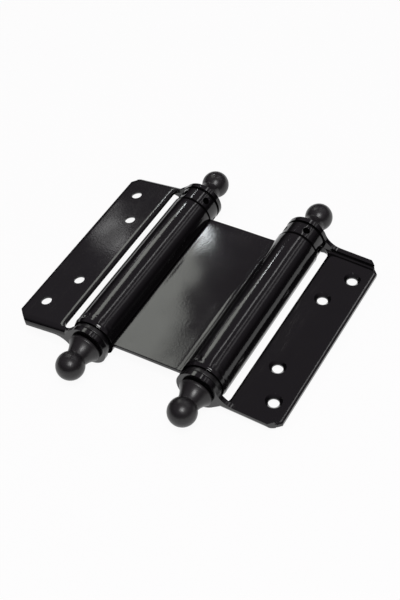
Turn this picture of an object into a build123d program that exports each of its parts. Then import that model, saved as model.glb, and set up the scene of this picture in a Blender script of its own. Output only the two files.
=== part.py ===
from build123d import *
from math import atan2, cos, degrees, floor, hypot, radians, sin, sqrt
import os

# Double acting spring hinge: two flanged leaves, each turning on its own rolled
# barrel, and one centre plate that carries both barrels. X runs across the web,
# Y along the barrels, Z up. The origin lies mid-way between the barrels, at the
# middle of the leaves, on the surface that the barrels rest on.

# Leaves
leaf_length = 100.0
leaf_sheet = 2.2
leaf_reach = 36.6
leaf_offset = 3.5
slot_past_barrel = 2.6
slot_corner = 3.5
bend_inside = 1.0
flange_height = 4.2
corner_clip = 4.7
droop_right = 3.8
droop_left = 6.0

# Ears of the leaves
ear_inside_barrel = 0.3
ear_top_fillet = 8.6
ear_foot_fillet = 6.0
runout_length = 4.0

# Screw holes
hole_diameter = 4.7
sink_diameter = 7.4
outer_hole_from_end = 8.2
outer_hole_spacing = 74.6
inner_hole_from_end = 14.8
inner_hole_spacing = 42.2

# Centre plate
axis_spacing = 54.4
barrel_diameter = 20.0
plate_sheet = 1.8
root_radius = 1.0
edge_gap = 0.6
crimp_depth = 0.5
crimp_length = 1.8
crimp_sweep = 290.0

# Stake dimples that hold the anchor plugs
stake_ball_radius = 2.4
stake_depth = 0.8
stake_from_end = 3.6
stake_count = 2
stake_angle = 112.0
stake_step = 120.0

# Spindles, finials and their washers
spindle_diameter = 7.0
spindle_chamfer = 0.8
finial_washer_diameter = 10.4
finial_washer_thickness = 0.7
finial_base_diameter = 15.0
finial_rim = 0.9
neck_diameter = 9.4
ball_diameter = 12.6
ball_from_ear = 11.7
cone_hollow = 0.35
spindle_grip = 7.0

# Tension collars
collar_inside_barrel = 0.4
collar_length = 7.8
collar_chamfer = 0.5
spigot_length = 6.0
tommy_diameter = 3.2
tommy_depth = 4.4
tommy_chamfer = 0.35
tommy_count = 5
tommy_start_right = 71.0
tommy_start_left = 50.0

# Anchor plugs
plug_inside_barrel = 1.3
plug_flange = 2.4
plug_length = 8.0
plug_chamfer = 0.4

# Thrust washers
thrust_inside_barrel = 1.7
thrust_thickness = 0.6

# Torsion springs, of square wire
coil_clearance = 0.95
coil_spacing = 1.5
tang_inside_wire = 0.1
tang_length = 4.0

# Clearances
axial_play = 0.1
running_fit = 0.06
seat_fit = 0.02
spigot_fit = 0.08
tang_fit = 0.1
coil_gap = 0.3
end_space = 0.3

# Places and sizes that follow
half_leaf = leaf_length / 2
ear_inner = half_leaf - leaf_sheet
back = -(leaf_offset + leaf_sheet)
rim = back + flange_height
bend_outside = bend_inside + leaf_sheet
barrel_radius = barrel_diameter / 2
barrel_bore = barrel_radius - plate_sheet
ear_radius = barrel_radius - ear_inside_barrel
slot_reach = barrel_radius + slot_past_barrel
outer_hole_reach = leaf_reach - outer_hole_from_end
inner_hole_reach = leaf_reach - inner_hole_from_end
collar_radius = barrel_radius - collar_inside_barrel
plug_radius = barrel_radius - plug_inside_barrel
thrust_radius = barrel_radius - thrust_inside_barrel
axis_height = barrel_radius
inside_limit = ear_inner - thrust_thickness - axial_play
barrel_far = inside_limit - collar_length - axial_play
barrel_near = plug_flange - inside_limit
spindle_radius = spindle_diameter / 2
finial_foot = half_leaf + finial_washer_thickness
ball_radius = ball_diameter / 2
ball_centre = half_leaf + ball_from_ear
neck_place = ball_centre - sqrt(ball_radius ** 2 - (neck_diameter / 2) ** 2)
spindle_end = half_leaf + spindle_grip
wire_width = barrel_bore - spindle_radius - 2 * coil_clearance
tang_radius = wire_width / 2 - tang_inside_wire
coil_radius = (barrel_bore + spindle_radius) / 2
spigot_end = barrel_far + axial_play - spigot_length
plug_end = barrel_near + plug_length
coil_start = plug_end + coil_gap + wire_width / 2
coil_room = spigot_end - coil_gap - wire_width / 2 - coil_start
coil_turns = floor(coil_room / (wire_width * coil_spacing))
tang_hole_depth = tang_length + end_space
far_reach = leaf_length


def along_y(face, low, high):
    """Solid between two places along the barrels from a face drawn as (across, up)."""
    return extrude(Plane.XZ.offset(-high) * face, amount=high - low)


def turned(points):
    """Solid of revolution about the Y axis from corners given as (radius, place)."""
    return revolve(make_face(Polyline(*points, close=True)), Axis.Y)


def tube(outer, inner, low, high):
    """Plain ring or tube about the Y axis."""
    return turned([(inner, low), (outer, low), (outer, high), (inner, high)])


def bent_sheet(centre, radius, start, size, thickness):
    """Face of a sheet bent to one radius of its middle line."""
    outside = CenterArc(centre, radius + thickness / 2, start, size)
    inside = CenterArc(centre, radius - thickness / 2, start, size)
    first = Line(outside @ 0, inside @ 0)
    last = Line(outside @ 1, inside @ 1)
    return make_face([outside, last, inside, first])


def half_roll():
    """Section from the middle of the web to the free edge of the right barrel."""
    roll = barrel_radius - plate_sheet / 2
    root = root_radius + plate_sheet / 2
    root_across = sqrt((roll + root) ** 2 - root ** 2)
    root_x = axis_spacing / 2 - root_across
    lift = degrees(atan2(root, root_across))
    shut = free_edge_angle(root_across, root)
    web = Pos(root_x / 2, 0) * Rectangle(root_x, plate_sheet)
    bend = bent_sheet((root_x, root), root, -90, 90 - lift, plate_sheet)
    barrel = bent_sheet((axis_spacing / 2, 0), roll, 180 - lift, shut + lift - 360, plate_sheet)
    return web + bend + barrel


def free_edge_angle(root_across, root):
    """Angle below the web at which the rolled edge stops short of the root bend."""
    near = root + plate_sheet / 2 + edge_gap
    far = hypot(root_across, root)
    turn = (barrel_radius ** 2 + far ** 2 - near ** 2) / (2 * barrel_radius * far)
    between = degrees(atan2(sqrt(1 - turn ** 2), turn))
    return between - degrees(atan2(root, root_across))


def crimp():
    """Ring that turns in the near end of the right barrel over its plug, clear of the web."""
    ring = make_face(Polyline(
        (barrel_radius - crimp_depth, barrel_near), (barrel_radius + crimp_depth, barrel_near),
        (barrel_radius + crimp_depth, barrel_near + crimp_length), (barrel_radius, barrel_near + crimp_length),
        close=True,
    ))
    return Rot(0, -crimp_sweep / 2, 0) * revolve(ring, Axis.Y, crimp_sweep)


def centre_plate():
    """One sheet rolled up into the right barrel and down into the left barrel."""
    half = half_roll()
    section = half + Rot(0, 0, 180) * half
    plate = along_y(section, barrel_near, barrel_far)
    ring = Pos(axis_spacing / 2, 0, 0) * crimp()
    plate -= ring
    plate -= Rot(0, 180, 0) * ring
    ball_place = barrel_radius + stake_ball_radius - stake_depth
    for side in (-1, 1):
        for step in range(stake_count):
            angle = stake_angle + step * stake_step
            spot = Rot(0, -angle, 0) * Pos(ball_place, barrel_near + stake_from_end, 0)
            plate -= Pos(side * axis_spacing / 2, 0, 0) * spot * Sphere(stake_ball_radius)
    return Pos(0, 0, axis_height) * plate


def ear_outline():
    """Side view of a leaf: ear disc, sweep down to the flange rim, foot and back."""
    top_y = rim + ear_top_fillet
    top_x = sqrt((ear_radius + ear_top_fillet) ** 2 - top_y ** 2)
    foot_y = back - ear_foot_fillet
    foot_x = sqrt((ear_radius + ear_foot_fillet) ** 2 - foot_y ** 2)
    top_angle = degrees(atan2(top_y, top_x))
    foot_angle = degrees(atan2(foot_y, foot_x))
    disc = CenterArc((0, 0), ear_radius, top_angle, 360 - top_angle + foot_angle)
    sweep_down = CenterArc((top_x, top_y), ear_top_fillet, -90, top_angle - 90)
    foot = CenterArc((foot_x, foot_y), ear_foot_fillet, 90, 90 + foot_angle)
    rim_line = Line(sweep_down @ 0, (leaf_reach, rim))
    end_line = Line((leaf_reach, rim), (leaf_reach, back))
    back_line = Line((leaf_reach, back), foot @ 0)
    return make_face([disc, sweep_down, rim_line, end_line, back_line, foot]), foot_x


def rounded_box(half_width, low, high, radius):
    """Upright rectangle with its two lower corners rounded."""
    box = Pos(0, (low + high) / 2) * Rectangle(2 * half_width, high - low)
    return fillet(box.vertices().group_by(Axis.Y)[0], radius)


def slot_cut():
    """Plan view of the slot between the ears, rounded where it meets the plate."""
    slot = Pos(slot_reach - far_reach / 2, 0) * Rectangle(far_reach, 2 * ear_inner)
    slot = fillet(slot.vertices().group_by(Axis.X)[-1], slot_corner)
    return extrude(slot, amount=far_reach / 2, both=True)


def screw_hole(reach, place):
    """Countersunk screw hole, sunk from the inner face."""
    radius = hole_diameter / 2
    sink = sink_diameter / 2
    depth = sink - radius
    shank = Pos(0, 0, back + leaf_sheet / 2) * Cylinder(radius, 2 * leaf_sheet)
    cone = Pos(0, 0, -leaf_offset - depth / 2) * Cone(radius, sink, depth)
    return Pos(reach, place, 0) * (shank + cone)


def clip_corner(side):
    """Block that takes off one outer corner of a leaf at 45 degrees."""
    block = Rot(0, 0, 45) * Box(2 * corner_clip, 2 * corner_clip, far_reach)
    shift = (sqrt(0.5) - 0.5) * corner_clip
    return Pos(leaf_reach + shift, side * (half_leaf + shift), 0) * block


def runout_cut(side, foot_x):
    """Sloping cut that runs the flange bend out into the flat ear."""
    size = 2 * bend_outside
    corner = Pos(size / 2, -size / 2) * Rectangle(size, size) - Circle(bend_outside)
    start = Plane.YZ.offset(foot_x) * Pos(half_leaf - bend_outside, back + bend_outside)
    away = (1 - sqrt(0.5)) * bend_outside
    drop = ear_foot_fillet - sqrt(ear_foot_fillet ** 2 - runout_length ** 2)
    travel = Vector(-runout_length, away, -away - drop)
    cut = extrude(start * corner, amount=travel.length, dir=travel)
    return cut if side > 0 else mirror(cut, Plane.XZ)


def leaf():
    """Flanged leaf about its own axis: plate below, ears rising, inner face up."""
    outline, foot_x = ear_outline()
    section = rounded_box(half_leaf, back, ear_radius, bend_outside)
    section -= rounded_box(ear_inner, -leaf_offset, 2 * ear_radius, bend_inside)
    start = slot_reach - slot_corner
    channel = extrude(Plane.YZ.offset(start) * section, amount=leaf_reach - start)
    body = channel & along_y(outline, -half_leaf, half_leaf)
    ear_face = outline & Pos(foot_x - far_reach / 2, 0) * Rectangle(far_reach, far_reach)
    for low, high in ((-half_leaf, -ear_inner), (ear_inner, half_leaf)):
        body += along_y(ear_face, low, high)
    body -= slot_cut()
    body -= tube(spindle_radius + seat_fit, 0, -far_reach, far_reach)
    for side in (-1, 1):
        body -= runout_cut(side, foot_x)
        body -= clip_corner(side)
        body -= screw_hole(outer_hole_reach, side * outer_hole_spacing / 2)
        body -= screw_hole(inner_hole_reach, side * inner_hole_spacing / 2)
    return body


def spindle():
    """Plain pin through both ears, its ends held in the finials."""
    small = spindle_radius - spindle_chamfer
    slope = spindle_end - spindle_chamfer
    return turned([
        (0, -spindle_end), (small, -spindle_end), (spindle_radius, -slope),
        (spindle_radius, slope), (small, spindle_end), (0, spindle_end),
    ])


def finial():
    """Ball on a hollow-sided cone, with a blind bore for the spindle's end."""
    base = finial_base_diameter / 2
    neck = neck_diameter / 2
    rim_top = finial_foot + finial_rim
    middle = ((base + neck) / 2 - cone_hollow, (rim_top + neck_place) / 2 - cone_hollow)
    bore = spindle_radius + seat_fit
    bore_end = spindle_end + end_space
    profile = make_face([
        Line((bore, finial_foot), (base, finial_foot)),
        Line((base, finial_foot), (base, rim_top)),
        ThreePointArc((base, rim_top), middle, (neck, neck_place)),
        Line((neck, neck_place), (0, neck_place)),
        Line((0, neck_place), (0, finial_foot + finial_rim / 2)),
        Line((0, finial_foot + finial_rim / 2), (bore, finial_foot)),
    ])
    body = revolve(profile, Axis.Y) + Pos(0, ball_centre, 0) * Sphere(ball_radius)
    return body - tube(bore, 0, 0, bore_end)


def finial_washer():
    """Small washer between an ear and a finial."""
    return tube(finial_washer_diameter / 2, spindle_radius + seat_fit, half_leaf, finial_foot)


def thrust_washer():
    """Thin bearing washer on the inner face of an ear."""
    low = ear_inner - thrust_thickness
    return tube(thrust_radius, spindle_radius + seat_fit, low, ear_inner)


def tang_hole(low, high):
    """Axial hole that takes one end of the spring."""
    middle = (low + high) / 2
    return Pos(coil_radius, middle, 0) * Rot(90, 0, 0) * Cylinder(tang_radius + tang_fit, high - low)


def tommy_hole(angle):
    """Radial hole in the collar for a tommy bar or a stop pin."""
    outer = collar_radius
    radius = tommy_diameter / 2
    hole = Pos(outer - tommy_depth / 2, 0, 0) * Rot(0, 90, 0) * Cylinder(radius, tommy_depth)
    mouth_depth = tommy_chamfer * 2
    mouth = Rot(0, 90, 0) * Cone(radius - tommy_chamfer, radius + tommy_chamfer, mouth_depth)
    place = barrel_far + axial_play + collar_length / 2
    return Rot(0, -angle, 0) * Pos(0, place, 0) * (hole + Pos(outer - tommy_chamfer / 2, 0, 0) * mouth)


def tension_collar(start_angle):
    """Collar with a spigot in the barrel and a ring of tommy holes."""
    outer = collar_radius
    spigot = barrel_bore - spigot_fit
    bore = spindle_radius + running_fit
    low = barrel_far + axial_play
    high = low + collar_length
    body = turned([
        (bore, spigot_end), (spigot, spigot_end), (spigot, low),
        (outer - collar_chamfer, low), (outer, low + collar_chamfer),
        (outer, high - collar_chamfer), (outer - collar_chamfer, high), (bore, high),
    ])
    body -= tang_hole(spigot_end, spigot_end + tang_hole_depth)
    for step in range(tommy_count):
        body -= tommy_hole(start_angle + step * 360 / tommy_count)
    return body


def anchor_plug():
    """Plug fixed in the near end of a barrel, with a flange over the barrel's end."""
    outer = plug_radius
    body_radius = barrel_bore - seat_fit
    bore = spindle_radius + running_fit
    low = -inside_limit
    body = turned([
        (bore, low), (outer - plug_chamfer, low), (outer, low + plug_chamfer),
        (outer, barrel_near), (body_radius, barrel_near), (body_radius, plug_end), (bore, plug_end),
    ])
    return body - tang_hole(plug_end - tang_hole_depth, plug_end)


def torsion_spring():
    """Helical spring of square wire with a straight round tang at each end."""
    path = Helix(coil_room / coil_turns, coil_room, coil_radius)
    start = Plane(origin=path @ 0, x_dir=(1, 0, 0), z_dir=path % 0)
    wire = sweep(start * Rectangle(wire_width, wire_width), path=path, is_frenet=True)
    coil = Pos(0, coil_start, 0) * Rot(-90, 0, 0) * wire
    tang_ends = (
        (plug_end - tang_length, coil_start),
        (coil_start + coil_room, spigot_end + tang_length),
    )
    for low, high in tang_ends:
        tang = Cylinder(tang_radius, high - low)
        coil += Pos(coil_radius, (low + high) / 2, 0) * Rot(90, 0, 0) * tang
    return coil


def build():
    """All pieces in place, by name."""
    pieces = {"centre_plate": centre_plate()}
    sides = (
        ("left", -1, -droop_left, 180.0, tommy_start_left),
        ("right", 1, droop_right, 0.0, tommy_start_right),
    )
    for name, side, droop, flip, start in sides:
        axis = Pos(side * axis_spacing / 2, 0, axis_height)
        near = Rot(0, 0, 180)
        pieces["leaf_" + name] = axis * Rot(0, droop + flip, 0) * leaf()
        pieces["spindle_" + name] = axis * spindle()
        pieces["finial_near_" + name] = axis * near * finial()
        pieces["finial_far_" + name] = axis * finial()
        pieces["finial_washer_near_" + name] = axis * near * finial_washer()
        pieces["finial_washer_far_" + name] = axis * finial_washer()
        pieces["thrust_washer_near_" + name] = axis * near * thrust_washer()
        pieces["thrust_washer_far_" + name] = axis * thrust_washer()
        pieces["tension_collar_" + name] = axis * tension_collar(start)
        pieces["anchor_plug_" + name] = axis * anchor_plug()
        pieces["torsion_spring_" + name] = axis * torsion_spring()
    return pieces


os.makedirs("parts", exist_ok=True)
for piece_name, piece in build().items():
    solids = piece.solids()
    if len(solids) != 1:
        print(piece_name, "has", len(solids), "solids")
    export_step(solids[0] if len(solids) == 1 else piece, "parts/" + piece_name + ".step")
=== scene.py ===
import math

import bmesh
import bpy
import numpy as np
from mathutils import Matrix


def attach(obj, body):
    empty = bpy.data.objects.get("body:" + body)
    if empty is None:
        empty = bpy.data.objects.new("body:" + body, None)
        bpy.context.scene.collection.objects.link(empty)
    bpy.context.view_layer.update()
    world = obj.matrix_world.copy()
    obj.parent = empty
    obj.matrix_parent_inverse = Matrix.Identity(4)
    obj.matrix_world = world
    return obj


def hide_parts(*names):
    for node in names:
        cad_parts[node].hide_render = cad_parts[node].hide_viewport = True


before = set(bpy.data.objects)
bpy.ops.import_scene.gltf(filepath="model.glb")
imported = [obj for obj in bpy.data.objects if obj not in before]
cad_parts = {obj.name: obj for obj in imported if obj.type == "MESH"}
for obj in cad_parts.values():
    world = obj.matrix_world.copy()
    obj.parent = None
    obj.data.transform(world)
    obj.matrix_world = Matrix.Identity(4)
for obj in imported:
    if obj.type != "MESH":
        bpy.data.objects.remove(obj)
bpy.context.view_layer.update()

# Sizes of the hinge in metres, as its solids have them
AXIS_HALF = 0.0272
AXIS_HEIGHT = 0.010
BARREL_RADIUS = 0.010
PLATE_SHEET = 0.0018
ROOT_RADIUS = 0.0010
EDGE_GAP = 0.0006
PLATE_RIM = 0.00022
FREE_EDGE_BULGE = 0.0003
BARREL_NEAR = -0.0447
BARREL_FAR = 0.0392
CRIMP_DEPTH = 0.0005
CRIMP_LENGTH = 0.0018
CRIMP_HALF_SWEEP = math.radians(145.0)
CRIMP_FADE = 0.25
STAKE_BALL = 0.0024
STAKE_DEPTH = 0.0008
STAKE_FROM_END = 0.0036
STAKE_SPAN = 0.0020
STAKE_ANGLES = (112.0, 232.0)
LEAF_HALF = 0.050
LEAF_BACK = -0.0057
LEAF_FRONT = -0.0035
LEAF_REACH = 0.0366
CLIP_LINE = 0.0819
SLOT_REACH = 0.0126
SLOT_CORNER = 0.0035
EAR_INNER = 0.0478
SPINDLE_BORE = 0.00352
FINIAL_FOOT = 0.0507
FINIAL_BASE = 0.0075
FINIAL_RIM = 0.0009
NECK_RADIUS = 0.0047
CONE_HOLLOW = 0.00035
BALL_RADIUS = 0.0063
BALL_CENTRE = 0.0617
WASHER_RADIUS = 0.0052
THRUST_RADIUS = 0.0083
THRUST_SHEET = 0.0006
SIDES = {"left": -1, "right": 1}
DROOP = {"left": math.radians(6.0), "right": math.radians(3.8)}

# Marks of making and use on the centre plate
WEB_HALF = 0.012
HAMMER_DEPTH = 0.00005
HAMMER_REACH = 0.0080
WAVE_HEIGHT = 0.00011
RIPPLE_HEIGHT = 0.00002
DENT_DEPTH = 0.00006
DENT_PLACE = (-0.0105, -0.0405)
DENT_SIZE = (0.0014, 0.0016)
CREASE_DEPTH = 0.00002
CREASE_PLACE = 0.0146
CREASE_WIDTH = 0.0005

# Small edge radii, and how the punch rolls the leaf's faces over: face, depth and width
LEAF_EDGE = 0.00025
COLLAR_EDGE = 0.0002
FOOT_EDGE = 0.00025
LIP_EDGE = 0.0002
NECK_GROOVE = 0.00003
FINIAL_BORE_END = 0.0573
WASHER_EDGES = [0.00005, 0.0001, 0.0001, 0.00005]
FACE_ROLLS = ((LEAF_BACK, 0.00052, 0.0024), (LEAF_FRONT, -0.0003, 0.0020))
RIM_ROLL = (0.00028, 0.0019)

# Fineness of the meshes: segments round a turned piece, distances below which points are merged, and the
# turn in radians above which an edge counts as sharp
TURNED_SEGMENTS = 96
SAME_PLACE = 1e-7
SAME_CAD_PLACE = 2e-6
SHARP_TURN = 0.6

# The photograph's camera, with its lens in pixels of the picture
PHOTO_HEIGHT = 600
LENS_PIXELS = 1155.03
CAMERA_PLACE = (0.201206, -0.28337, 0.365901 + AXIS_HEIGHT)

# Places of the joints along the barrels, and half the widths of the painted shade in them
JOINT_SHADE_BANDS = ((0.0391, 0.0008), (0.0471, 0.0007), (-0.0448, 0.0002), (-0.0473, 0.0005))


def smooth_step(value, low, high):
    """Rise from 0 to 1 between two values, level at both ends: 3 t^2 - 2 t^3."""
    t = np.clip((value - low) / (high - low), 0.0, 1.0)
    return t * t * (3.0 - 2.0 * t)


def grid_mesh(name, points, around=True, along=False, caps=()):
    """Mesh over a grid of points (rows, columns, 3): each cell is one face, and caps are more faces.
    around joins the last column to the first, along joins the last row to the first."""
    rows, columns, _ = points.shape
    index = np.arange(rows * columns).reshape(rows, columns)
    if around:
        index = np.concatenate([index, index[:, :1]], axis=1)
    if along:
        index = np.concatenate([index, index[:1]], axis=0)
    faces = np.stack([index[:-1, :-1], index[:-1, 1:], index[1:, 1:], index[1:, :-1]], axis=-1)
    mesh = bpy.data.meshes.new(name)
    mesh.from_pydata(points.reshape(-1, 3).tolist(), [], faces.reshape(-1, 4).tolist() + list(caps))
    return mesh


def close_mesh(mesh):
    """Merge doubles, drop faces without area and turn every face outwards."""
    shell = bmesh.new()
    shell.from_mesh(mesh)
    bmesh.ops.remove_doubles(shell, verts=shell.verts, dist=SAME_PLACE)
    bmesh.ops.dissolve_degenerate(shell, edges=shell.edges, dist=SAME_PLACE)
    bmesh.ops.recalc_face_normals(shell, faces=shell.faces)
    shell.to_mesh(mesh)
    shell.free()


def add_piece(name, mesh, body, finish, replaced):
    """Put a finished mesh in the scene, riding on a body, in one finish, for the nodes it replaces."""
    mesh.shade_smooth()
    piece = bpy.data.objects.new(name, mesh)
    bpy.context.scene.collection.objects.link(piece)
    piece.data.materials.append(finish)
    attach(piece, body)
    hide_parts(*replaced)
    return piece


def rounded_profile(corners, radii):
    """Closed profile (n, 2) whose corners are rounded by arcs: each arc runs between the two points at
    the corner's cut length along its sides, as the quadratic curve (1-t)^2 a + 2t(1-t) b + t^2 c."""
    corners = np.asarray(corners, float)
    before, after = np.roll(corners, 1, axis=0), np.roll(corners, -1, axis=0)
    to_before = before - corners
    to_after = after - corners
    to_before /= np.linalg.norm(to_before, axis=1, keepdims=True)
    to_after /= np.linalg.norm(to_after, axis=1, keepdims=True)
    cut = np.asarray(radii, float)[:, None]
    first, last = corners + cut * to_before, corners + cut * to_after
    t = np.linspace(0.0, 1.0, 5)[None, :, None]
    arcs = (1 - t) ** 2 * first[:, None] + 2 * t * (1 - t) * corners[:, None] + t ** 2 * last[:, None]
    return arcs.reshape(-1, 2)


def turned_piece(name, profile, side, mirrored):
    """Turned part: a profile of (radius, place) carried round the barrel's axis:
    x = axis + r cos a, y = place, z = height + r sin a."""
    angle = np.linspace(0.0, 2.0 * np.pi, TURNED_SEGMENTS, endpoint=False)[None, :]
    radius, place = profile[:, :1], profile[:, 1:]
    if mirrored:
        place = -place
    points = np.stack([
        SIDES[side] * AXIS_HALF + radius * np.cos(angle),
        place + 0.0 * angle,
        AXIS_HEIGHT + radius * np.sin(angle)], axis=-1)
    mesh = grid_mesh(name, points, along=True)
    close_mesh(mesh)
    return mesh


def sheet_middle():
    """Middle line of the centre plate from the right barrel's free edge to the left one's, as
    points (x, z) and unit normals. Each half is an arc of the barrel, the root bend and half
    of the web; the other half is the same turned by half a turn."""
    roll = BARREL_RADIUS - PLATE_SHEET / 2
    root = ROOT_RADIUS + PLATE_SHEET / 2
    across = math.sqrt((roll + root) ** 2 - root ** 2)
    lift = math.atan2(root, across)
    near = root + PLATE_SHEET / 2 + EDGE_GAP
    far = math.hypot(across, root)
    shut = math.acos((BARREL_RADIUS ** 2 + far ** 2 - near ** 2) / (2 * BARREL_RADIUS * far)) - lift
    a = np.linspace(-math.pi + shut, math.pi - lift, 132)
    barrel = np.stack([AXIS_HALF + roll * np.cos(a), roll * np.sin(a)], axis=1)
    barrel_out = np.stack([np.cos(a), np.sin(a)], axis=1)
    b = np.linspace(-lift, -math.pi / 2, 12)[1:]
    root_x = AXIS_HALF - across
    bend = np.stack([root_x + root * np.cos(b), root + root * np.sin(b)], axis=1)
    bend_out = -np.stack([np.cos(b), np.sin(b)], axis=1)
    web_x = np.linspace(root_x, 0.0, 64)[1:]
    web = np.stack([web_x, 0.0 * web_x], axis=1)
    web_out = np.stack([0.0 * web_x, 0.0 * web_x + 1.0], axis=1)
    half = np.concatenate([barrel, bend, web])
    half_out = np.concatenate([barrel_out, bend_out, web_out])
    return np.concatenate([half, -half[-2::-1]]), np.concatenate([half_out, half_out[-2::-1]])


def sheet_rows():
    """Places of the sheet's rows along the barrels and its half thickness there. At each end the half
    thickness shrinks by r (1 - cos q) while the row moves in by r (1 - sin q), which rounds the rims."""
    q = np.linspace(0.0, math.pi / 2, 5)
    moved, thinned = PLATE_RIM * (1 - np.sin(q)), PLATE_RIM * (1 - np.cos(q))
    stake = BARREL_NEAR + STAKE_FROM_END
    inner = np.unique(np.concatenate([
        np.linspace(BARREL_NEAR + PLATE_RIM, stake - STAKE_SPAN, 5)[1:],
        np.linspace(stake - STAKE_SPAN, stake + STAKE_SPAN, 21),
        np.linspace(stake + STAKE_SPAN, BARREL_FAR - PLATE_RIM, 22)[:-1]]).round(7))
    place = np.concatenate([(BARREL_NEAR + moved)[::-1], inner, BARREL_FAR - moved])
    return place, PLATE_SHEET / 2 - np.concatenate([thinned[::-1], 0 * inner, thinned])


def barrel_end(points, side):
    """Crimp, stakes and hammer marks at the near end of one barrel, in the barrel's own measure.
    The crimp draws points towards the axis by its depth, fading along the barrel and past its sweep.
    Each stake ball pushes the points inside it out to its surface. The hammer marks sink by
    depth e^-(d / reach)^2 (1 - sin(7a + 900d) sin(11a - 1500d + 1)), at angle a and d from the end."""
    dx = side * points[..., 0] - AXIS_HALF
    dz = side * points[..., 2]
    radius = np.hypot(dx, dz)
    turn = np.arctan2(dz, dx)
    outer = smooth_step(radius, BARREL_RADIUS - 0.0010, BARREL_RADIUS - 0.0003)
    outer = outer * (side * points[..., 0] > WEB_HALF)
    share = outer * (1 - smooth_step(np.abs(turn), CRIMP_HALF_SWEEP - CRIMP_FADE, CRIMP_HALF_SWEEP))
    fade = 1 - smooth_step(points[..., 1], BARREL_NEAR, BARREL_NEAR + CRIMP_LENGTH)
    scale = 1 - CRIMP_DEPTH * share * fade / np.maximum(radius, 1e-6)
    points[..., 0] = side * (AXIS_HALF + dx * scale)
    points[..., 2] = side * dz * scale
    reach = BARREL_RADIUS + STAKE_BALL - STAKE_DEPTH
    stake = BARREL_NEAR + STAKE_FROM_END
    for up in np.radians(STAKE_ANGLES):
        ball = np.array([side * AXIS_HALF + reach * np.cos(up), stake, reach * np.sin(up)])
        away = points - ball
        distance = np.linalg.norm(away, axis=-1, keepdims=True)
        points = np.where(distance < STAKE_BALL, ball + away / distance * STAKE_BALL, points)
    from_end = points[..., 1] - BARREL_NEAR
    beaten = np.exp(-(from_end / HAMMER_REACH) ** 2) * outer * smooth_step(from_end, 0.0006, 0.0024)
    dents = np.sin(7 * turn + 900 * from_end) * np.sin(11 * turn - 1500 * from_end + 1.0)
    sunk = HAMMER_DEPTH * beaten * (dents - 1.0) / np.maximum(radius, 1e-6)
    points[..., 0] += side * dx * sunk
    points[..., 2] += side * dz * sunk
    return points


def web_height(x, y):
    """Height added to the web: slow waves and a ripple, each a sine across times a sine along, less a
    dent e^-(a^2 + b^2) near the left barrel and a crease e^-c^2 beside the right one."""
    web = 1 - smooth_step(np.abs(x), 0.0140, 0.0160)
    dent = np.exp(-(((x - DENT_PLACE[0]) / DENT_SIZE[0]) ** 2 + ((y - DENT_PLACE[1]) / DENT_SIZE[1]) ** 2))
    slow = np.sin(95 * x + 60 * y + 0.5) * np.sin(70 * y - 40 * x)
    ripple = np.sin(310 * x + 90 * y + 1.0) * np.sin(260 * y + 0.4)
    crease = np.exp(-((x - CREASE_PLACE) / CREASE_WIDTH) ** 2)
    uneven = WAVE_HEIGHT * slow + RIPPLE_HEIGHT * ripple - DENT_DEPTH * dent
    return web * uneven - CREASE_DEPTH * crease


def centre_plate(finish):
    """The S-rolled sheet: its middle line is given a thickness, m + h n above and m - h n below, with
    rounded free edges, and is carried along the barrels. The two ends are capped by one face between
    each pair of opposite points, and by one face over each rounded free edge."""
    middle, out = sheet_middle()
    place, thick = sheet_rows()
    upper = middle[None] + out[None] * thick[:, None, None]
    lower = middle[None] - out[None] * thick[:, None, None]
    tip = np.linspace(0.0, math.pi, 7)[1:-1]
    edges = []
    for at, before, turn in ((-1, -2, 1.0), (0, 1, -1.0)):
        ahead = middle[at] - middle[before]
        ahead = ahead / np.linalg.norm(ahead)
        lean = turn * np.cos(tip)[None, :, None] * out[at] * thick[:, None, None]
        edges.append(middle[at] + lean + FREE_EDGE_BULGE * np.sin(tip)[None, :, None] * ahead)
    section = np.concatenate([upper, edges[0], lower[:, ::-1], edges[1]], axis=1)
    along = np.broadcast_to(place[:, None], section.shape[:2])
    points = np.stack([section[..., 0], along, section[..., 1]], axis=-1)
    for side in SIDES.values():
        points = barrel_end(points, side)
    points[..., 2] += web_height(points[..., 0], points[..., 1]) + AXIS_HEIGHT

    count, width = middle.shape[0], section.shape[1]
    last_row = (len(place) - 1) * width
    cap = np.arange(count - 1)
    opposite = 2 * count + len(tip) - 1 - cap
    near = np.stack([cap, opposite, opposite - 1, cap + 1], axis=1)
    caps = near.tolist() + (near[:, ::-1] + last_row).tolist()
    first_tip = np.arange(count - 1, count + len(tip) + 1)
    other_tip = np.append(np.arange(width - len(tip) - 1, width), 0)
    for loop in (first_tip, other_tip):
        caps += [loop[::-1].tolist(), (loop + last_row).tolist()]
    mesh = grid_mesh("rolled_plate", points, caps=caps)
    close_mesh(mesh)
    add_piece("rolled_plate", mesh, "centre", finish, ["centre_plate"])


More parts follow.
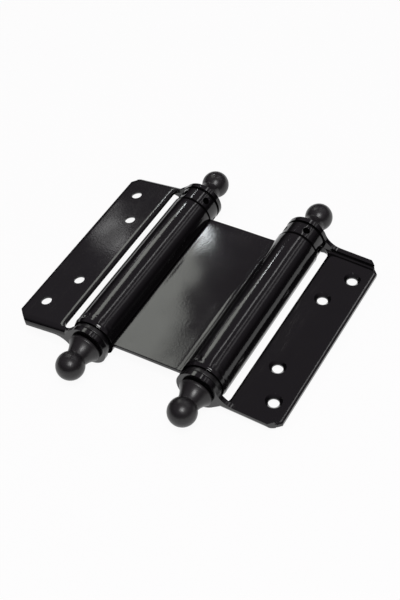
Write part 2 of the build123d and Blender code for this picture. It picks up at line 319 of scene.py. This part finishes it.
def finial_profile():
    """Profile of a finial as (radius, place): foot and lip with rounded edges, a cone that is hollow by
    4 t (1 - t) of its depth, the neck's groove, then the ball's circle r = R cos a, y = centre + R sin a,
    and back down its blind bore."""
    neck_place = BALL_CENTRE - math.sqrt(BALL_RADIUS ** 2 - NECK_RADIUS ** 2)
    rim_top = FINIAL_FOOT + FINIAL_RIM
    t = np.linspace(0.0, 1.0, 22)[:, None]
    start, end = np.array([FINIAL_BASE, rim_top]), np.array([NECK_RADIUS, neck_place])
    bow = 4 * t * (1 - t) * CONE_HOLLOW * math.sqrt(2)
    side = (end - start) / np.linalg.norm(end - start)
    cone = start + t * (end - start) - bow * np.array([side[1], -side[0]])
    low = math.asin((neck_place - BALL_CENTRE) / BALL_RADIUS)
    a = np.linspace(low, math.pi / 2, 40)[:, None]
    ball = np.concatenate([BALL_RADIUS * np.cos(a), BALL_CENTRE + BALL_RADIUS * np.sin(a)], axis=1)
    q = np.linspace(0.0, math.pi / 2, 5)[:, None]
    sine, cosine = 1 - np.sin(q), 1 - np.cos(q)
    foot = np.concatenate([FINIAL_BASE - FOOT_EDGE * sine, FINIAL_FOOT + FOOT_EDGE * cosine], axis=1)
    lip = np.concatenate([FINIAL_BASE - LIP_EDGE * cosine, rim_top - LIP_EDGE * sine], axis=1)
    groove = np.array([[NECK_RADIUS - NECK_GROOVE, neck_place]])
    bore = np.array([[0.0, FINIAL_BORE_END], [SPINDLE_BORE, FINIAL_BORE_END], [SPINDLE_BORE, FINIAL_FOOT]])
    return np.concatenate([foot, lip, cone[1:-1], groove, ball[1:], bore])


def turned_pieces():
    """Finials, finial washers and thrust washers of both barrels."""
    finial = finial_profile()
    washer = rounded_profile(
        [(SPINDLE_BORE, LEAF_HALF), (WASHER_RADIUS, LEAF_HALF), (WASHER_RADIUS, FINIAL_FOOT),
         (SPINDLE_BORE, FINIAL_FOOT)], WASHER_EDGES)
    low = EAR_INNER - THRUST_SHEET
    thrust = rounded_profile(
        [(SPINDLE_BORE, low), (THRUST_RADIUS, low), (THRUST_RADIUS, EAR_INNER), (SPINDLE_BORE, EAR_INNER)],
        WASHER_EDGES)
    for side in SIDES:
        for end, mirrored in (("near", True), ("far", False)):
            for kind, profile, finish, slot in (
                    ("finial", finial, SATIN, "satin_black"),
                    ("finial_washer", washer, DARK, "washer_steel"),
                    ("thrust_washer", thrust, DARK, "washer_steel")):
                node = f"{kind}_{end}_{side}"
                mesh = turned_piece("turned_" + node, profile, side, mirrored)
                add_piece("turned_" + node, mesh, f"leaf_{side}", finish, [node])


def softened_copy(node, name, body, finish, width, cuts=(), reshape=None):
    """Merged copy of a solid's mesh, its flats joined and its sharp edges rounded to a small width. cuts
    are planes (point, direction) that give the mesh more edges, and reshape moves its points."""
    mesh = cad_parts[node].data.copy()
    mesh.name = name
    mesh.materials.clear()
    shell = bmesh.new()
    shell.from_mesh(mesh)
    bmesh.ops.remove_doubles(shell, verts=shell.verts, dist=SAME_CAD_PLACE)
    bmesh.ops.dissolve_degenerate(shell, edges=shell.edges, dist=SAME_CAD_PLACE)
    bmesh.ops.dissolve_limit(shell, angle_limit=math.radians(0.6), verts=shell.verts, edges=shell.edges)
    bmesh.ops.recalc_face_normals(shell, faces=shell.faces)
    for point, ahead in cuts:
        geometry = shell.verts[:] + shell.edges[:] + shell.faces[:]
        bmesh.ops.bisect_plane(shell, geom=geometry, dist=SAME_PLACE, plane_co=point, plane_no=ahead)
    shell.to_mesh(mesh)
    if reshape is not None:
        place = np.zeros(len(mesh.vertices) * 3)
        mesh.vertices.foreach_get("co", place)
        mesh.vertices.foreach_set("co", reshape(place.reshape(-1, 3)).ravel())
    bends = np.array([e.calc_face_angle(0.0) if len(e.link_faces) == 2 else 0.0 for e in shell.edges])
    shell.free()
    weight = mesh.attributes.new("bevel_weight_edge", "FLOAT", "EDGE")
    weight.data.foreach_set("value", (bends > SHARP_TURN).astype(np.float32))
    piece = add_piece(name, mesh, body, finish, [node])
    bevel = piece.modifiers.new("rounded_edges", "BEVEL")
    bevel.limit_method = "WEIGHT"
    bevel.width = width
    bevel.segments = 3
    bevel.use_clamp_overlap = True
    bevel.harden_normals = False
    smooth = piece.modifiers.new("smooth_faces", "WEIGHTED_NORMAL")
    smooth.keep_sharp = False
    smooth.weight = 60


def leaf_frame(points, side):
    """World points of a leaf in its own measure: reach from the axis, place, and height above it."""
    x = points[..., 0] - SIDES[side] * AXIS_HALF
    z = points[..., 2] - AXIS_HEIGHT
    turn = DROOP[side] * SIDES[side]
    reach = x * math.cos(turn) - z * math.sin(turn)
    up = x * math.sin(turn) + z * math.cos(turn)
    return SIDES[side] * reach, points[..., 1], SIDES[side] * up


def slot_cuts(side):
    """Planes beside a leaf's slot, closer together towards its edge, across its rounded corners, and
    beside the leaf's outer edge and clipped corners."""
    turn = DROOP[side] * SIDES[side]
    ahead = SIDES[side] * np.array([math.cos(turn), 0.0, -math.sin(turn)])
    axis = np.array([SIDES[side] * AXIS_HALF, 0.0, AXIS_HEIGHT])
    along = np.array([0.0, 1.0, 0.0])
    near_slot = (0.0002, 0.0005, 0.0009, 0.0013, 0.0018, 0.0024)
    near_corner = (0.0443, 0.0457, 0.0467, 0.0474)
    near_rim = (0.0003, 0.0007, 0.0012, 0.0018)
    beside = [(axis + ahead * (SLOT_REACH + d), ahead) for d in near_slot]
    across = [(along * sign * place, along) for sign in (-1, 1) for place in near_corner]
    outside = [(axis + ahead * (LEAF_REACH - d), ahead) for d in near_rim]
    corners = [(axis + (CLIP_LINE - d * math.sqrt(2)) * ahead, ahead + sign * along)
               for sign in (-1, 1) for d in near_rim]
    return beside + across + outside + corners


def rolled_slot(side):
    """Roll the sheet's faces down towards the slot and the outer edges, as the punch does: at a distance d
    from the outline the face sinks by depth (1 - d / width)^2."""
    def reshape(points):
        reach, place, up = leaf_frame(points, side)
        q = np.stack([reach - (SLOT_REACH - SLOT_CORNER), np.abs(place) - (EAR_INNER - SLOT_CORNER)], axis=-1)
        gap = np.hypot(*np.maximum(q, 0.0).T) - SLOT_CORNER
        in_leaf = (np.abs(place) < EAR_INNER - 0.0001) & (gap > -0.0001)
        turn = DROOP[side] * SIDES[side]
        rise = SIDES[side] * np.array([math.sin(turn), 0.0, math.cos(turn)])
        rim = np.minimum(LEAF_REACH - reach, (CLIP_LINE - reach - np.abs(place)) / math.sqrt(2))
        rim_depth, rim_width = RIM_ROLL
        for level, depth, width in FACE_ROLLS:
            on_face = in_leaf & (np.abs(up - level) < 0.00006)
            sunk = depth * np.clip(1 - gap / width, 0.0, 1.0) ** 2
            sunk += math.copysign(rim_depth, depth) * np.clip(1 - rim / rim_width, 0.0, 1.0) ** 2
            points = points + (sunk * on_face)[:, None] * rise
        return points
    return reshape


class Value:
    """One socket of a finish that takes part in plain sums: a + b, 1 - a, a * 2."""

    def __init__(self, finish, socket):
        self.finish, self.socket = finish, socket

    def join(self, operation, first, second):
        return self.finish.node("ShaderNodeMath", {"operation": operation}, {0: first, 1: second})

    def __add__(self, other):
        return self.join("ADD", self, other)

    def __radd__(self, other):
        return self.join("ADD", other, self)

    def __sub__(self, other):
        return self.join("SUBTRACT", self, other)

    def __rsub__(self, other):
        return self.join("SUBTRACT", other, self)

    def __mul__(self, other):
        return self.join("MULTIPLY", self, other)

    def __rmul__(self, other):
        return self.join("MULTIPLY", other, self)


class Finish:
    """A node-based finish: one Principled surface and the nodes that feed it."""

    def __init__(self, name, material=None):
        self.material = material or bpy.data.materials.new(name)
        self.material.use_nodes = True
        self.tree = self.material.node_tree
        self.surface = self.tree.nodes["Principled BSDF"]
        self.place = self.node("ShaderNodeTexCoord", {}, {}, "Object")

    def node(self, kind, settings, inputs, output=0):
        """Add one node: its settings first, then the values or links of its sockets."""
        made = self.tree.nodes.new(kind)
        for key, value in settings.items():
            setattr(made, key, value)
        for key, value in inputs.items():
            if isinstance(value, Value):
                self.tree.links.new(value.socket, made.inputs[key])
            else:
                made.inputs[key].default_value = value
        return Value(self, made.outputs[output])

    def noise(self, scale, detail=2.0, roughness=0.5, stretch=None):
        """Smooth noise between 0 and 1; scale counts its waves in a metre."""
        place = self.place
        if stretch:
            place = self.node("ShaderNodeMapping", {}, {"Vector": place, "Scale": stretch})
        return self.node("ShaderNodeTexNoise", {}, {
            "Vector": place, "Scale": scale, "Detail": detail, "Roughness": roughness})

    def spread(self, value, low, high, to_low=0.0, to_high=1.0):
        """Spread one range of a value over another, held at its ends."""
        return self.node("ShaderNodeMapRange", {"clamp": True}, {
            "Value": value, "From Min": low, "From Max": high, "To Min": to_low, "To Max": to_high})

    def blend(self, share, first, second):
        """Colour between two others, by a share from 0 to 1."""
        return self.node("ShaderNodeMix", {"data_type": "RGBA"}, {0: share, 6: first, 7: second}, 2)

    def bump(self, height, strength, distance, base=None):
        """Normal from a height in units of distance."""
        inputs = {"Height": height, "Strength": strength, "Distance": distance}
        if base:
            inputs["Normal"] = base
        return self.node("ShaderNodeBump", {}, inputs)

    def feed(self, **inputs):
        """Link or set the Principled surface's own sockets, named with _ for a space."""
        for key, value in inputs.items():
            socket = self.surface.inputs[key.replace("_", " ")]
            if isinstance(value, Value):
                self.tree.links.new(value.socket, socket)
            else:
                socket.default_value = value
        return self.material


def gloss_enamel(name="gloss_enamel", dull=0.0):
    """Stoved black enamel on sheet steel: near-black, glossy, with a faint orange peel, slow waves of
    the sheet and rubbed, duller patches."""
    f = Finish(name)
    haze = f.noise(70.0, 4.0, 0.55)
    rubbed = f.spread(f.noise(38.0, 3.0, 0.6, (1.0, 0.45, 1.0)), 0.52, 0.70)
    peel = f.noise(1100.0, 2.0)
    waves = f.noise(45.0, 1.0)
    scratches = f.spread(f.noise(1.0, 4.0, 0.7, (1500.0, 70.0, 300.0)), 0.56, 0.74)
    clear = f.blend(haze, (0.0020, 0.0017, 0.0021, 1.0), (0.0036, 0.0032, 0.0036, 1.0))
    colour = f.blend(scratches * rubbed, clear, (0.045, 0.043, 0.040, 1.0))
    rough = f.spread(haze, 0.3, 0.7, 0.085 + dull, 0.125 + dull) + rubbed * 0.09
    slow = f.bump(waves, 0.30, 0.0005)
    return f.feed(Base_Color=colour, Roughness=rough, Normal=f.bump(peel, 0.18, 0.0001, slow),
                  Specular_IOR_Level=0.5)


def enamel_with_painted_joint_shade():
    """The same enamel where round parts meet, with painted shade: a matt black band fills each joint and
    stands for the shade in the gap, at four places along the barrels."""
    material = gloss_enamel("enamel_with_painted_joint_shade")
    f = Finish("painted_joint_shade", material)
    x = f.node("ShaderNodeSeparateXYZ", {}, {0: f.place}, 0)
    y = f.node("ShaderNodeSeparateXYZ", {}, {0: f.place}, 1)
    beside_web = f.spread(f.node("ShaderNodeMath", {"operation": "ABSOLUTE"}, {0: x}), 0.0165, 0.0170)
    joint_shade = 0.0
    for place, half in JOINT_SHADE_BANDS:
        gap = f.node("ShaderNodeMath", {"operation": "ABSOLUTE"}, {0: y - place})
        joint_shade = joint_shade + f.spread(gap, half * 0.7, half * 1.3, 1.0, 0.0)
    # Painted shade: matt near-black in each joint stands for the shade in the gap between parts
    painted_shade_black = f.node("ShaderNodeBsdfDiffuse", {}, {"Color": (0.002, 0.0018, 0.002, 1.0)})
    mixed = f.node("ShaderNodeMixShader", {}, {
        0: joint_shade * beside_web, 1: Value(f, f.surface.outputs[0]), 2: painted_shade_black})
    f.tree.links.new(mixed.socket, f.tree.nodes["Material Output"].inputs["Surface"])
    return material


def satin_enamel():
    """Satin black coat of the finials: soft, slightly grained, with fine turning marks round it."""
    f = Finish("satin_enamel")
    grain = f.noise(2600.0, 3.0)
    marks = f.noise(1.0, 2.0, 0.6, (90.0, 2600.0, 90.0))
    cloud = f.noise(160.0, 3.0)
    colour = f.blend(cloud, (0.0075, 0.0066, 0.0072, 1.0), (0.0125, 0.0112, 0.0120, 1.0))
    rough = f.spread(cloud, 0.3, 0.7, 0.30, 0.40)
    height = grain * 0.5 + marks * 0.5
    return f.feed(Base_Color=colour, Roughness=rough, Normal=f.bump(height, 0.25, 0.00004))


def bright_steel():
    """Drawn steel of the spindles, with fine turning marks round them."""
    f = Finish("bright_steel")
    marks = f.noise(1.0, 2.0, 0.6, (60.0, 5200.0, 60.0))
    colour = f.blend(marks, (0.42, 0.41, 0.40, 1.0), (0.60, 0.59, 0.58, 1.0))
    rough = f.spread(marks, 0.3, 0.7, 0.22, 0.36)
    return f.feed(Base_Color=colour, Roughness=rough, Metallic=1.0, Normal=f.bump(marks, 0.2, 0.00002))


def dark_steel():
    """Oiled, blackened steel of washers and springs."""
    f = Finish("dark_steel")
    cloud = f.noise(700.0, 3.0)
    colour = f.blend(cloud, (0.020, 0.019, 0.020, 1.0), (0.050, 0.048, 0.047, 1.0))
    rough = f.spread(cloud, 0.3, 0.7, 0.30, 0.45)
    return f.feed(Base_Color=colour, Roughness=rough, Metallic=0.9, Normal=f.bump(cloud, 0.15, 0.00003))


GLOSS = gloss_enamel()
# Enamel of the plate and collars, with painted shade in their joints
ENAMEL_WITH_JOINT_SHADE = enamel_with_painted_joint_shade()
DULL = gloss_enamel("dull_enamel", 0.22)
SATIN = satin_enamel()
BRIGHT = bright_steel()
DARK = dark_steel()

NODE_FINISH = {
    "centre_plate": ENAMEL_WITH_JOINT_SHADE, "leaf": GLOSS, "tension_collar": ENAMEL_WITH_JOINT_SHADE, "anchor_plug": DULL,
    "finial_washer": DARK, "finial": SATIN, "spindle": BRIGHT, "thrust_washer": DARK,
    "torsion_spring": DARK}
for name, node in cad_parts.items():
    finish = next(v for k, v in NODE_FINISH.items() if name.startswith(k))
    node.data.materials.clear()
    node.data.materials.append(finish)

centre_plate(ENAMEL_WITH_JOINT_SHADE)
turned_pieces()
for side in SIDES:
    softened_copy(f"leaf_{side}", f"pressed_leaf_{side}", f"leaf_{side}", GLOSS, LEAF_EDGE,
                  cuts=slot_cuts(side), reshape=rolled_slot(side))
    softened_copy(f"tension_collar_{side}", f"turned_collar_{side}", f"collar_{side}", ENAMEL_WITH_JOINT_SHADE, COLLAR_EDGE)
    softened_copy(f"anchor_plug_{side}", f"turned_plug_{side}", "centre", DULL, COLLAR_EDGE)


def camera_at_photo():
    """The camera that took the photograph, found from the screw holes, barrels and balls. Its turn
    is given as the directions right, down and ahead."""
    data = bpy.data.cameras.new("camera")
    data.sensor_width = 36.0
    data.lens = LENS_PIXELS / PHOTO_HEIGHT * data.sensor_width
    data.clip_start = 0.01
    camera = bpy.data.objects.new("camera", data)
    bpy.context.scene.collection.objects.link(camera)
    right_down_ahead = Matrix(((0.862845, 0.497453, -0.089655),
                               (0.314469, -0.667159, -0.675284),
                               (-0.395736, 0.554472, -0.732088)))
    turn = right_down_ahead.transposed() @ Matrix.Diagonal((1.0, -1.0, -1.0))
    camera.matrix_world = Matrix.Translation(CAMERA_PLACE) @ turn.to_4x4()
    bpy.context.scene.camera = camera


def pale_floor():
    """Plain white floor that keeps the hinge's shadow, for the camera and for what the metal mirrors."""
    steps = np.linspace(-8.0, 8.0, 3)
    x, y = np.meshgrid(steps, steps)
    mesh = grid_mesh("floor", np.stack([x, y, np.full_like(x, -0.0003)], axis=-1), around=False)
    floor = bpy.data.objects.new("floor", mesh)
    bpy.context.scene.collection.objects.link(floor)
    f = Finish("white_floor")
    material = f.feed(Base_Color=(0.88, 0.82, 0.86, 1.0), Roughness=0.9)
    seen = f.node("ShaderNodeLightPath", {}, {}, "Is Camera Ray")
    mirrored = f.node("ShaderNodeLightPath", {}, {}, "Is Glossy Ray")
    passed = f.node("ShaderNodeLightPath", {}, {}, "Is Transmission Ray")
    glow = f.node("ShaderNodeEmission", {}, {"Color": (1.0, 1.0, 1.0, 1.0), "Strength": 1.0})
    mixed = f.node("ShaderNodeMixShader", {}, {
        0: (seen + mirrored + passed) * 0.94, 1: Value(f, f.surface.outputs[0]), 2: glow})
    f.tree.links.new(mixed.socket, f.tree.nodes["Material Output"].inputs["Surface"])
    mesh.materials.append(material)


def studio_sky():
    """A dim grey room, darker towards its floor, the same for the camera and for what the enamel mirrors."""
    world = bpy.data.worlds.new("studio")
    bpy.context.scene.world = world
    world.use_nodes = True
    tree = world.node_tree
    room = tree.nodes["Background"]
    room.inputs["Strength"].default_value = 1.0
    place = tree.nodes.new("ShaderNodeTexCoord")
    parts = tree.nodes.new("ShaderNodeSeparateXYZ")
    level = tree.nodes.new("ShaderNodeMapRange")
    for key, value in (("From Min", 0.25), ("From Max", 0.60), ("To Min", 0.03), ("To Max", 0.25)):
        level.inputs[key].default_value = value
    tree.links.new(place.outputs["Generated"], parts.inputs[0])
    tree.links.new(parts.outputs["Z"], level.inputs["Value"])
    tint = tree.nodes.new("ShaderNodeMix")
    tint.data_type = "RGBA"
    tint.inputs[6].default_value = (0.0, 0.0, 0.0, 1.0)
    tint.inputs[7].default_value = (1.05, 0.94, 1.07, 1.0)
    tree.links.new(level.outputs[0], tint.inputs[0])
    tree.links.new(tint.outputs[2], room.inputs["Color"])


def soft_lamp(name, place, size, glow, colour=(1.0, 1.0, 1.0), lean=0.0):
    """Rectangular soft lamp at a place, facing the hinge. glow is its brightness where white is 1, and
    lean turns it in its own plane from upright, in degrees."""
    data = bpy.data.lights.new(name, "AREA")
    data.shape = "RECTANGLE"
    data.size, data.size_y = size
    data.energy = glow * math.pi * size[0] * size[1]
    data.color = colour
    lamp = bpy.data.objects.new(name, data)
    bpy.context.scene.collection.objects.link(lamp)
    ahead = np.array([0.0, 0.0, AXIS_HEIGHT]) - np.array(place)
    ahead = ahead / np.linalg.norm(ahead)
    up = np.array([0.0, 1.0, 0.0]) - ahead[1] * ahead
    up = up / np.linalg.norm(up)
    across = np.cross(ahead, up)
    c, s = math.cos(math.radians(lean)), math.sin(math.radians(lean))
    across, up = c * across + s * up, c * up - s * across
    turned = Matrix(np.stack([across, up, -ahead], axis=1).tolist()).to_4x4()
    lamp.matrix_world = Matrix.Translation(place) @ turned


camera_at_photo()
pale_floor()
studio_sky()
# Softbox over the far left, whose edge crosses the web, and the long strips that streak the barrels
soft_lamp("left_softbox", (-0.218, 0.206, 0.328), (0.095, 0.17), 3.0, (0.97, 1.0, 0.93), lean=36.0)
soft_lamp("left_bulb", (-0.203, 0.290, 0.305), (0.010, 0.018), 42.0, (0.92, 0.97, 1.0), lean=20.0)
soft_lamp("low_left_bulb", (-0.305, 0.239, 0.243), (0.040, 0.016), 3.0, lean=-10.0)
soft_lamp("strip_over_barrels", (0.062, 0.34, 0.52), (0.045, 0.34), 3.0)
soft_lamp("window_left_pane", (0.44, 0.67, 0.92), (0.09, 0.60), 1.2)
soft_lamp("window_right_pane", (0.66, 0.67, 0.80), (0.12, 0.60), 0.7)
# Large lamp above the camera, which gives the plain level of light
soft_lamp("top_lamp", (0.235, -0.28, 0.72), (0.26, 0.26), 16.0)

bpy.context.scene.view_settings.view_transform = "Standard"
